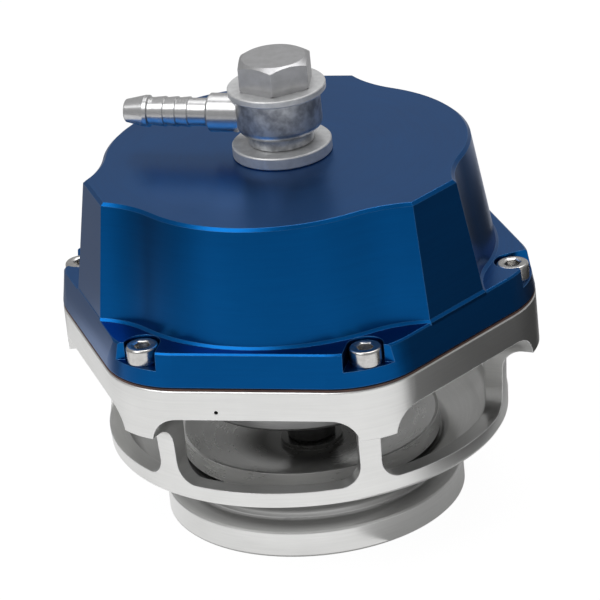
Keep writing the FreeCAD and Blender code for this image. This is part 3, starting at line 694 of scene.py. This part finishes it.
@dataclass
class CapScrews:
    """The six low socket head screws: one pattern screw, set out on the screws' circle. In millimetres."""

    finishes: Finishes
    node: str = "cap_screw_1"
    count: int = 6
    shank_radius: float = 2.0
    thread_pitch: float = 0.7
    thread_depth: float = 0.25
    thread_length: float = 8.4
    thread_lead: float = 0.3
    thread_run_out: float = 0.5
    head_height: float = 3.4
    head_round: float = 0.55
    head_round_steps: int = 5
    foot_round: float = 0.12
    socket_across: float = 3.0
    socket_depth: float = 1.9
    socket_point: tuple[float, float] = (0.4, 0.1)
    mouth_radius: float = 1.95
    mouth_depth: float = 0.22
    seed: int = 4

    def thread(self, tip: float) -> list[Ring]:
        """The rings of the thread.

        Args:
            tip: the height of the screw's tip.

        Returns:
            The rings, from the tip up to the plain shank.
        """
        root = self.shank_radius - self.thread_depth
        rings = [Ring(tip, root - self.thread_lead)]
        for turn in range(int(self.thread_length / self.thread_pitch)):
            start = tip + self.thread_lead + turn * self.thread_pitch
            rings += [Ring(start, root), Ring(start + 0.5 * self.thread_pitch, self.shank_radius)]
        rings.append(Ring(tip + self.thread_length + self.thread_run_out, self.shank_radius))
        return rings

    def head(self, top: float, radius: float) -> list[Ring]:
        """The rings of the head with its socket.

        Args:
            top: the height of the head's top.
            radius: its radius.

        Returns:
            The rings, from the shank round the head to the middle of the socket's floor.
        """
        under = top - self.head_height
        rings = [Ring(under, self.shank_radius), Ring(under, radius - self.foot_round)]
        rings.append(Ring(under + self.foot_round, radius))
        for step in range(self.head_round_steps + 1):
            angle = math.radians(90.0 * step / self.head_round_steps)
            inset = self.head_round * (1.0 - math.cos(angle))
            rings.append(Ring(top - self.head_round * (1.0 - math.sin(angle)), radius - inset))
        half = self.socket_across / 2
        floor = top - self.socket_depth
        point_depth, point_radius = self.socket_point
        rings += [Ring(top, self.mouth_radius), Ring(top - self.mouth_depth, half, True)]
        rings += [Ring(floor, half, True), Ring(floor - point_depth, point_radius)]
        return rings

    def build(self) -> None:
        """Makes the screws and puts them in the place of the solids."""
        low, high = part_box(self.node)
        head_radius = (high[1] - low[1]) / 2 / MM
        circle_radius = (low[0] + high[0]) / 2
        pattern = lofted("pattern_screw", self.thread(low[2] / MM) + self.head(high[2] / MM, head_radius))
        recipe = Recipe("screws_on_a_circle")
        count = recipe.asked("Count", self.count, "NodeSocketInt")
        radius = recipe.asked("Circle Radius", circle_radius)
        seed = recipe.asked("Seed", self.seed, "NodeSocketInt")
        circle = recipe.node("GeometryNodeMeshCircle", inputs={"Vertices": count, "Radius": radius})
        drawn = {2: 0.0, 3: math.tau, "Seed": seed}
        turn = recipe.node("FunctionNodeRandomValue", {"data_type": "FLOAT"}, drawn, 1)
        placed = {"Points": circle, "Instance": recipe.inlet, "Rotation": recipe.joined(0.0, 0.0, turn)}
        screws = recipe.node("GeometryNodeInstanceOnPoints", inputs=placed)
        piece = recipe.made("cap_screws", screws, pattern, self.finishes.material(SCREW_STAINLESS))
        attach(piece, "housing")
        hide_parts(*(f"cap_screw_{number}" for number in range(1, self.count + 1)))


@dataclass
class Coil:
    """A compression spring of round wire with closed ends. In metres."""

    name: str
    node: str
    finishes: Finishes
    wire: float
    turns: float
    closed: float = 1.0
    lift: float = 8.0 * MM
    around: int = 14
    along: int = 40

    def build(self) -> None:
        """Makes the spring in the place of its solid."""
        low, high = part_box(self.node)
        recipe = Recipe(self.name + "_winding")
        radius = recipe.asked("Radius", (high[0] - low[0]) / 2 - self.wire)
        wire = recipe.asked("Wire Radius", self.wire)
        turns = recipe.asked("Turns", self.turns)
        closed = recipe.asked("Closed Turns", self.closed)
        bottom = recipe.asked("Bottom", low[2])
        top = recipe.asked("Top", high[2])
        steps = recipe.asked("Steps In A Turn", self.along, "NodeSocketInt")
        height = top - bottom
        wound = {"Resolution": steps, "Rotations": turns, "Height": height}
        wound |= {"Start Radius": radius, "End Radius": radius}
        line = recipe.node("GeometryNodeCurveSpiral", inputs=wound)
        turned = recipe.node("GeometryNodeSplineParameter", output="Factor") * turns
        open_turns = turns - closed * 2.0
        open_pitch = (height - wire * 2.0 - wire * closed * 4.0) / open_turns
        below = turned.at_most(closed) * wire * 2.0
        between = (turned - closed).at_least(0.0).at_most(open_turns) * open_pitch
        above = (turned - turns + closed).at_least(0.0) * wire * 2.0
        x, y, _ = recipe.parts(recipe.node("GeometryNodeInputPosition"))
        point = recipe.joined(x, y, bottom + wire + below + between + above)
        line = recipe.node("GeometryNodeSetPosition", inputs={"Geometry": line, "Position": point})
        profile = {"Resolution": self.around, "Radius": wire}
        circle = recipe.node("GeometryNodeCurvePrimitiveCircle", inputs=profile)
        swept = {"Curve": line, "Profile Curve": circle, "Fill Caps": True}
        coil = recipe.node("GeometryNodeCurveToMesh", inputs=swept)
        start = bpy.data.meshes.new(self.name)
        piece = recipe.made(self.name, coil, start, self.finishes.material(SPRING_WIRE))
        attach(piece, "housing")
        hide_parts(self.node)
        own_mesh(piece)


@dataclass
class RollingSheet:
    """The rubber sheet, clamped at its edge, whose middle the valve's plates carry up and down. In metres."""

    nodes: dict[str, bpy.types.Object]
    finishes: Finishes
    node: str = "diaphragm"
    thickness: float = 0.4 * MM
    merged_within: float = 0.001 * MM

    def build(self) -> None:
        """Makes the sheet from its solid's skin."""
        skin = bmesh.new()
        skin.from_mesh(self.nodes[self.node].data)
        bmesh.ops.remove_doubles(skin, verts=skin.verts, dist=self.merged_within)
        mesh = bpy.data.meshes.new("rolling_sheet")
        skin.to_mesh(mesh)
        skin.free()
        mesh.shade_smooth()
        mesh.set_sharp_from_angle(angle=SHARP_ANGLE)
        piece = linked("rolling_sheet", mesh)
        self.finishes.dress(piece, SHEET_RUBBER)
        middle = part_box(self.node)[0][2] + self.thickness
        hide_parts(self.node)
        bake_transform(piece)


@dataclass
class DressedNodes:
    """The solids whose shape is right as it is, with the finish of each."""

    nodes: dict[str, bpy.types.Object]
    finishes: Finishes
    worn: dict[str, Finish] = field(default_factory=lambda: {
        "body": MACHINED_ALUMINIUM,
        "cap": BLUE_ANODISED,
        "guide_carrier": CARRIER_ALUMINIUM,
        "guide_bush": BRONZE,
        "carrier_seal": BLACK_RUBBER,
        "stem_seal": BLACK_RUBBER,
        "banjo_bolt": BOLT_ZINC,
        "banjo_washer_lower": WASHER_ZINC,
        "banjo_washer_upper": WASHER_ZINC,
        "banjo_eye": CLOUDY_ZINC,
        "hose_barb": TURNED_PLATE,
        "valve_disc": DISC_STEEL,
        "valve_seal": BLACK_RUBBER,
        "valve_screw": TURNED_STAINLESS,
        "valve_stem": DARK_STEEL,
        "diaphragm_plate": PLATE_ALUMINIUM,
        "spring_cup": PLATE_ALUMINIUM,
        "stem_washer": TURNED_STAINLESS,
        "stem_nut": TURNED_STAINLESS,
    })

    def build(self) -> None:
        """Dresses each solid in its finish."""
        for name, finish in self.worn.items():
            self.finishes.dress(self.nodes[name], finish)


@dataclass(frozen=True)
class Card:
    """A flat card, bright or dark, that only reflections see: a corner and two sides in metres."""

    name: str
    corner: Place
    first_side: Place
    second_side: Place
    brightness: float

    def build(self) -> None:
        """Sets the card up beside the valve."""
        shader = Shader(self.name)
        start, first, second = (Vector(v) for v in (self.corner, self.first_side, self.second_side))
        corners = [start, start + first, start + first + second, start + second]
        card = four_cornered(self.name, corners, shader.finished(shader.glow(self.brightness)))
        card.visible_camera = False
        card.visible_diffuse = False
        card.visible_shadow = False
        card.visible_transmission = False


@dataclass(frozen=True)
class Floor:
    """A pale floor, nearly white to the camera, which keeps a soft shadow and looks dimmer in reflections."""

    half_side: float = 3.0
    grey: float = 0.86
    seen_glow: float = 1.04
    seen_share: float = 0.93
    mirrored_glow: float = 0.4
    mirrored_share: float = 0.6

    def build(self) -> None:
        """Lays the floor under the valve."""
        shader = Shader("floor")
        matt = shader.node("ShaderNodeBsdfDiffuse", inputs={"Color": (self.grey, self.grey, self.grey, 1.0)})
        rays = shader.node("ShaderNodeLightPath", output="Is Camera Ray")
        shares = {0: rays * self.seen_share, 1: matt, 2: shader.glow(self.seen_glow)}
        seen = shader.node("ShaderNodeMixShader", inputs=shares)
        mirrored = (rays.out("Is Glossy Ray") + rays.out("Is Transmission Ray")).clamped()
        shares = {0: mirrored * self.mirrored_share, 1: seen, 2: shader.glow(self.mirrored_glow)}
        surface = shader.node("ShaderNodeMixShader", inputs=shares)
        signs = ((-1.0, -1.0), (1.0, -1.0), (1.0, 1.0), (-1.0, 1.0))
        corners = [Vector((x, y, 0.0)) * self.half_side for x, y in signs]
        four_cornered("floor", corners, shader.finished(surface))


@dataclass(frozen=True)
class Lamp:
    """A soft square lamp: where it hangs and its side in metres, and its power in watts."""

    name: str
    place: Place
    side: float
    power: float

    def build(self, target: Vector) -> None:
        """Hangs the lamp.

        Args:
            target: the point that it faces, in metres.
        """
        data = bpy.data.lights.new(self.name, "AREA")
        data.shape = "SQUARE"
        data.size = self.side
        data.energy = self.power
        lamp = linked(self.name, data)
        lamp.location = self.place
        lamp.rotation_mode = "QUATERNION"
        lamp.rotation_quaternion = (target - Vector(self.place)).to_track_quat("-Z", "Y")


@dataclass(frozen=True)
class PhotoCamera:
    """The camera at the photograph's angle, in degrees and metres, with its lens in millimetres."""

    azimuth: float = 14.447
    elevation: float = 24.694
    roll: float = -5.851
    distance: float = 0.9305
    lens: float = 270.12
    sensor: float = 36.0
    to_right: float = 0.00054
    to_top: float = -0.001626
    nearest: float = 0.05
    farthest: float = 50.0

    def axes(self) -> tuple[Vector, Vector, Vector]:
        """Works out the camera's directions.

        Returns:
            Its right, up and backward directions.
        """
        azimuth, elevation, roll = map(math.radians, (self.azimuth, self.elevation, self.roll))
        back = Vector((
            math.sin(azimuth) * math.cos(elevation),
            -math.cos(azimuth) * math.cos(elevation),
            math.sin(elevation),
        ))
        right = (-back).cross(Vector((0.0, 0.0, 1.0))).normalized()
        up = right.cross(-back)
        turned_right = right * math.cos(roll) + up * math.sin(roll)
        turned_up = up * math.cos(roll) - right * math.sin(roll)
        return turned_right, turned_up, back

    def build(self, target: Vector) -> None:
        """Adds the camera.

        Args:
            target: the point that it looks at, apart from its small moves to the right and the top.
        """
        right, up, back = self.axes()
        data = bpy.data.cameras.new("camera")
        data.lens = self.lens
        data.sensor_width = self.sensor
        data.clip_start = self.nearest
        data.clip_end = self.farthest
        camera = linked("camera", data)
        place = target + back * self.distance + right * self.to_right + up * self.to_top
        turn = Matrix((right, up, back)).transposed().to_4x4()
        camera.matrix_world = Matrix.Translation(place) @ turn
        bpy.context.scene.camera = camera


@dataclass
class Studio:
    """The camera, the pale floor, the white surroundings, the soft lamps and the cards."""

    target: Place = (0.0, 0.0, 0.0454)
    soft_light: float = 0.4
    camera: PhotoCamera = PhotoCamera()
    floor: Floor = Floor()
    lamps: tuple[Lamp, ...] = (
        Lamp("key", (-0.6, -0.65, 1.3), 0.9, 8.2),
        Lamp("top", (0.1, 0.5, 1.3), 1.0, 9.0),
    )
    cards: tuple[Card, ...] = (
        Card("front_card", (-0.25, -0.34, 0.0005), (0.47, 0.0, 0.0), (0.0, 0.305, 0.0), 1.02),
        Card("left_card", (-0.15, -0.035, 0.0005), (0.17, 0.0, 0.0), (0.0, 0.10, 0.0), 0.92),
        Card("back_left_card", (-0.5, 0.065, 0.0005), (0.45, 0.0, 0.0), (0.0, 0.4, 0.0), 0.32),
        Card("far_left_card", (-0.7, -0.34, 0.0003), (0.54, 0.0, 0.0), (0.0, 0.405, 0.0), 0.10),
        Card("near_side_card", (0.06, -0.04, 0.0005), (0.11, 0.0, 0.0), (0.0, 0.25, 0.0), 0.04),
        Card("far_side_card", (0.17, -0.08, 0.0005), (0.5, 0.0, 0.0), (0.0, 0.5, 0.0), 0.17),
        Card("side_wall", (0.67, -0.1, 0.0), (0.0, 0.6, 0.0), (0.0, 0.0, 0.3), 0.17),
    )

    def surround(self) -> None:
        """Fills the world with soft light, white where the camera sees it and dimmer for all else."""
        world = bpy.data.worlds.new("studio")
        world.use_nodes = True
        world.node_tree.nodes.clear()
        bpy.context.scene.world = world
        sky = Graph(world.node_tree)
        rays = sky.node("ShaderNodeLightPath", output="Is Camera Ray")
        light = {"Color": WHITE, "Strength": rays * (1.0 - self.soft_light) + self.soft_light}
        sky.node("ShaderNodeOutputWorld", inputs={"Surface": sky.node("ShaderNodeBackground", inputs=light)})

    def build(self) -> None:
        """Sets up the whole studio."""
        bpy.context.scene.view_settings.view_transform = "Standard"
        target = Vector(self.target)
        self.camera.build(target)
        self.floor.build()
        self.surround()
        for lamp in self.lamps:
            lamp.build(target)
        for card in self.cards:
            card.build()


def main() -> None:
    """Builds the looks of the valve, piece by piece."""
    logging.basicConfig(level=logging.INFO, format="%(name)s: %(message)s")
    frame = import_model()
    Studio().build()
    finishes = Finishes()
    DressedNodes(frame["nodes"], finishes).build()
    RollingSheet(frame["nodes"], finishes).build()
    CapScrews(finishes).build()
    Coil("outer_coil", "spring_outer", finishes, wire=1.3 * MM, turns=6.75).build()
    Coil("inner_coil", "spring_inner", finishes, wire=1.0 * MM, turns=8.0).build()


if __name__ == "__main__":
    main()
